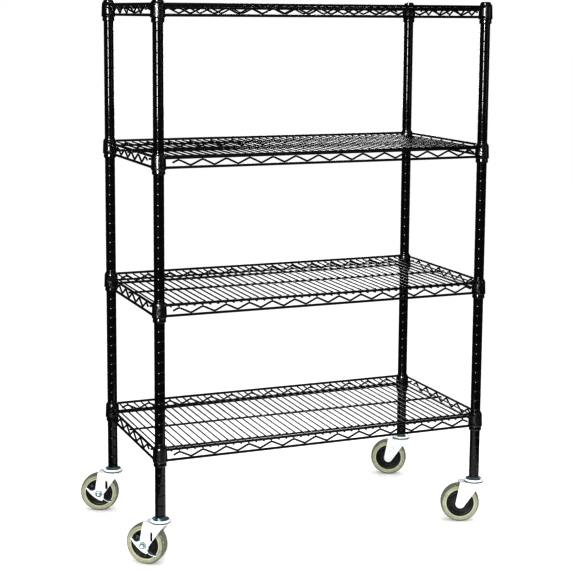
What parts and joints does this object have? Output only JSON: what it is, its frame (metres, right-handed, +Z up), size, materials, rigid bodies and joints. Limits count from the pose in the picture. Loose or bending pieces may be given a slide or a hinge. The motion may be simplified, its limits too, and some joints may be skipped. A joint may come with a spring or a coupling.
{
  "type": "wire shelf cart",
  "caption": "Open wire shelf cart with black wire decks clamped on grooved posts, on swivel casters, two with brake levers.",
  "frame": {"origin": "on the floor, midway between the four posts", "axes": "+X along the shelves to the right, +Y from the front to the back, +Z up"},
  "size_m": [0.9824, 0.5102, 1.3702],
  "materials": {
    "black_epoxy": "gloss",
    "black_plastic": "satin",
    "zinc_plate": "bright",
    "hub_plastic": "satin",
    "tread_rubber": "matt"
  },
  "bodies": {
    "frame": {"post_fl": "black_epoxy", "post_fr": "black_epoxy", "post_bl": "black_epoxy", "post_br": "black_epoxy", "post_caps": "black_plastic", "shelf_1_collars": "black_epoxy", "shelf_1_rim_rods": "black_epoxy", "shelf_1_snake_wires": "black_epoxy", "shelf_1_cross_wires": "black_epoxy", "shelf_1_stringers": "black_epoxy", "shelf_1_sleeves": "black_plastic", "shelf_2_collars": "black_epoxy", "shelf_2_rim_rods": "black_epoxy", "shelf_2_snake_wires": "black_epoxy", "shelf_2_cross_wires": "black_epoxy", "shelf_2_stringers": "black_epoxy", "shelf_2_sleeves": "black_plastic", "shelf_3_collars": "black_epoxy", "shelf_3_rim_rods": "black_epoxy", "shelf_3_snake_wires": "black_epoxy", "shelf_3_cross_wires": "black_epoxy", "shelf_3_stringers": "black_epoxy", "shelf_3_sleeves": "black_plastic", "shelf_4_collars": "black_epoxy", "shelf_4_rim_rods": "black_epoxy", "shelf_4_snake_wires": "black_epoxy", "shelf_4_cross_wires": "black_epoxy", "shelf_4_stringers": "black_epoxy", "shelf_4_sleeves": "black_plastic", "caster_fl_stem": "zinc_plate", "caster_fr_stem": "zinc_plate", "caster_bl_stem": "zinc_plate", "caster_br_stem": "zinc_plate"},
    "swivel_fl": {"caster_fl_balls": "zinc_plate", "caster_fl_fork": "zinc_plate", "caster_fl_axle": "zinc_plate", "brake_fl_washer": "zinc_plate"},
    "wheel_fl": {"caster_fl_hub": "hub_plastic", "caster_fl_tread": "tread_rubber"},
    "brake_fl": {"brake_fl_lever": "zinc_plate", "brake_fl_pad": "hub_plastic"},
    "swivel_fr": {"caster_fr_balls": "zinc_plate", "caster_fr_fork": "zinc_plate", "caster_fr_axle": "zinc_plate"},
    "wheel_fr": {"caster_fr_hub": "hub_plastic", "caster_fr_tread": "tread_rubber"},
    "swivel_bl": {"caster_bl_balls": "zinc_plate", "caster_bl_fork": "zinc_plate", "caster_bl_axle": "zinc_plate", "brake_bl_washer": "zinc_plate"},
    "wheel_bl": {"caster_bl_hub": "hub_plastic", "caster_bl_tread": "tread_rubber"},
    "brake_bl": {"brake_bl_lever": "zinc_plate", "brake_bl_pad": "hub_plastic"},
    "swivel_br": {"caster_br_balls": "zinc_plate", "caster_br_fork": "zinc_plate", "caster_br_axle": "zinc_plate"},
    "wheel_br": {"caster_br_hub": "hub_plastic", "caster_br_tread": "tread_rubber"}
  },
  "joints": [
    {"name": "swivel_fl_turn", "type": "hinge", "parent": "frame", "child": "swivel_fl", "pos_m": [-0.4355, -0.214, 0.11], "axis": [0, 0, 1], "continuous": true},
    {"name": "wheel_fl_roll", "type": "hinge", "parent": "swivel_fl", "child": "wheel_fl", "pos_m": [-0.46225, -0.18991, 0.0508], "axis": [0.6691, 0.7431, 0], "continuous": true},
    {"name": "brake_fl_press", "type": "hinge", "parent": "swivel_fl", "child": "brake_fl", "pos_m": [-0.46225, -0.18991, 0.0508], "axis": [0.6691, 0.7431, 0], "range_deg": [0, 10]},
    {"name": "swivel_fr_turn", "type": "hinge", "parent": "frame", "child": "swivel_fr", "pos_m": [0.4355, -0.214, 0.11], "axis": [0, 0, 1], "continuous": true},
    {"name": "wheel_fr_roll", "type": "hinge", "parent": "swivel_fr", "child": "wheel_fr", "pos_m": [0.40261, -0.19936, 0.0508], "axis": [0.4067, 0.9135, 0], "continuous": true},
    {"name": "swivel_bl_turn", "type": "hinge", "parent": "frame", "child": "swivel_bl", "pos_m": [-0.4355, 0.214, 0.11], "axis": [0, 0, 1], "continuous": true},
    {"name": "wheel_bl_roll", "type": "hinge", "parent": "swivel_bl", "child": "wheel_bl", "pos_m": [-0.46839, 0.22864, 0.0508], "axis": [0.4067, 0.9135, 0], "continuous": true},
    {"name": "brake_bl_press", "type": "hinge", "parent": "swivel_bl", "child": "brake_bl", "pos_m": [-0.46839, 0.22864, 0.0508], "axis": [0.4067, 0.9135, 0], "range_deg": [0, 10]},
    {"name": "swivel_br_turn", "type": "hinge", "parent": "frame", "child": "swivel_br", "pos_m": [0.4355, 0.214, 0.11], "axis": [0, 0, 1], "continuous": true},
    {"name": "wheel_br_roll", "type": "hinge", "parent": "swivel_br", "child": "wheel_br", "pos_m": [0.40371, 0.2309, 0.0508], "axis": [0.4695, 0.8829, 0], "continuous": true}
  ]
}
